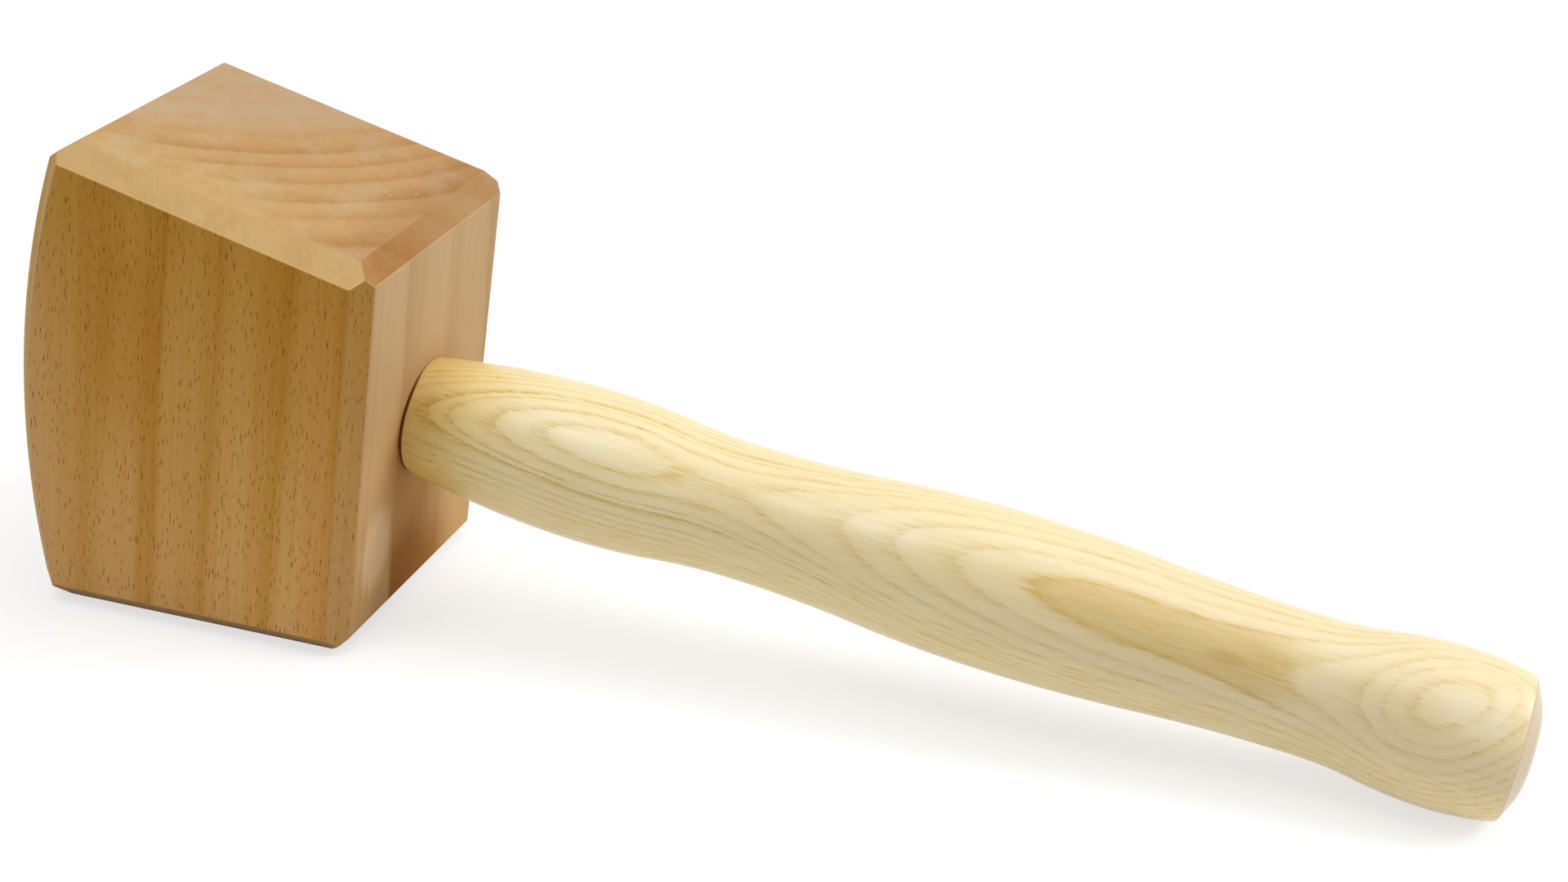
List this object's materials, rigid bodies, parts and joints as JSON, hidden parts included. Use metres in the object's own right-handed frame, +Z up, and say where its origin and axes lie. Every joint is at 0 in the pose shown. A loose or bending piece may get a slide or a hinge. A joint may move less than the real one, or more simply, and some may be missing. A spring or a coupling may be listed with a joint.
{
  "type": "wooden mallet",
  "caption": "Joiner's wooden mallet: chamfered beech head with sloped striking faces and a curved crown, on a turned, waisted ash handle held by a wedged round tenon.",
  "frame": {"origin": "centre of the lower striking face, which lies on the floor", "axes": "+X along that face towards the handle's free end, +Y across the head from the near cheek to the far cheek, +Z up"},
  "size_m": [0.3373, 0.07, 0.1143],
  "materials": {
    "beech": "planed and lightly oiled beech",
    "ash": "turned and satin finished ash",
    "wedge_wood": "planed hardwood"
  },
  "bodies": {
    "root": {"head": "beech", "handle": "ash", "wedge": "wedge_wood"}
  },
  "joints": []
}
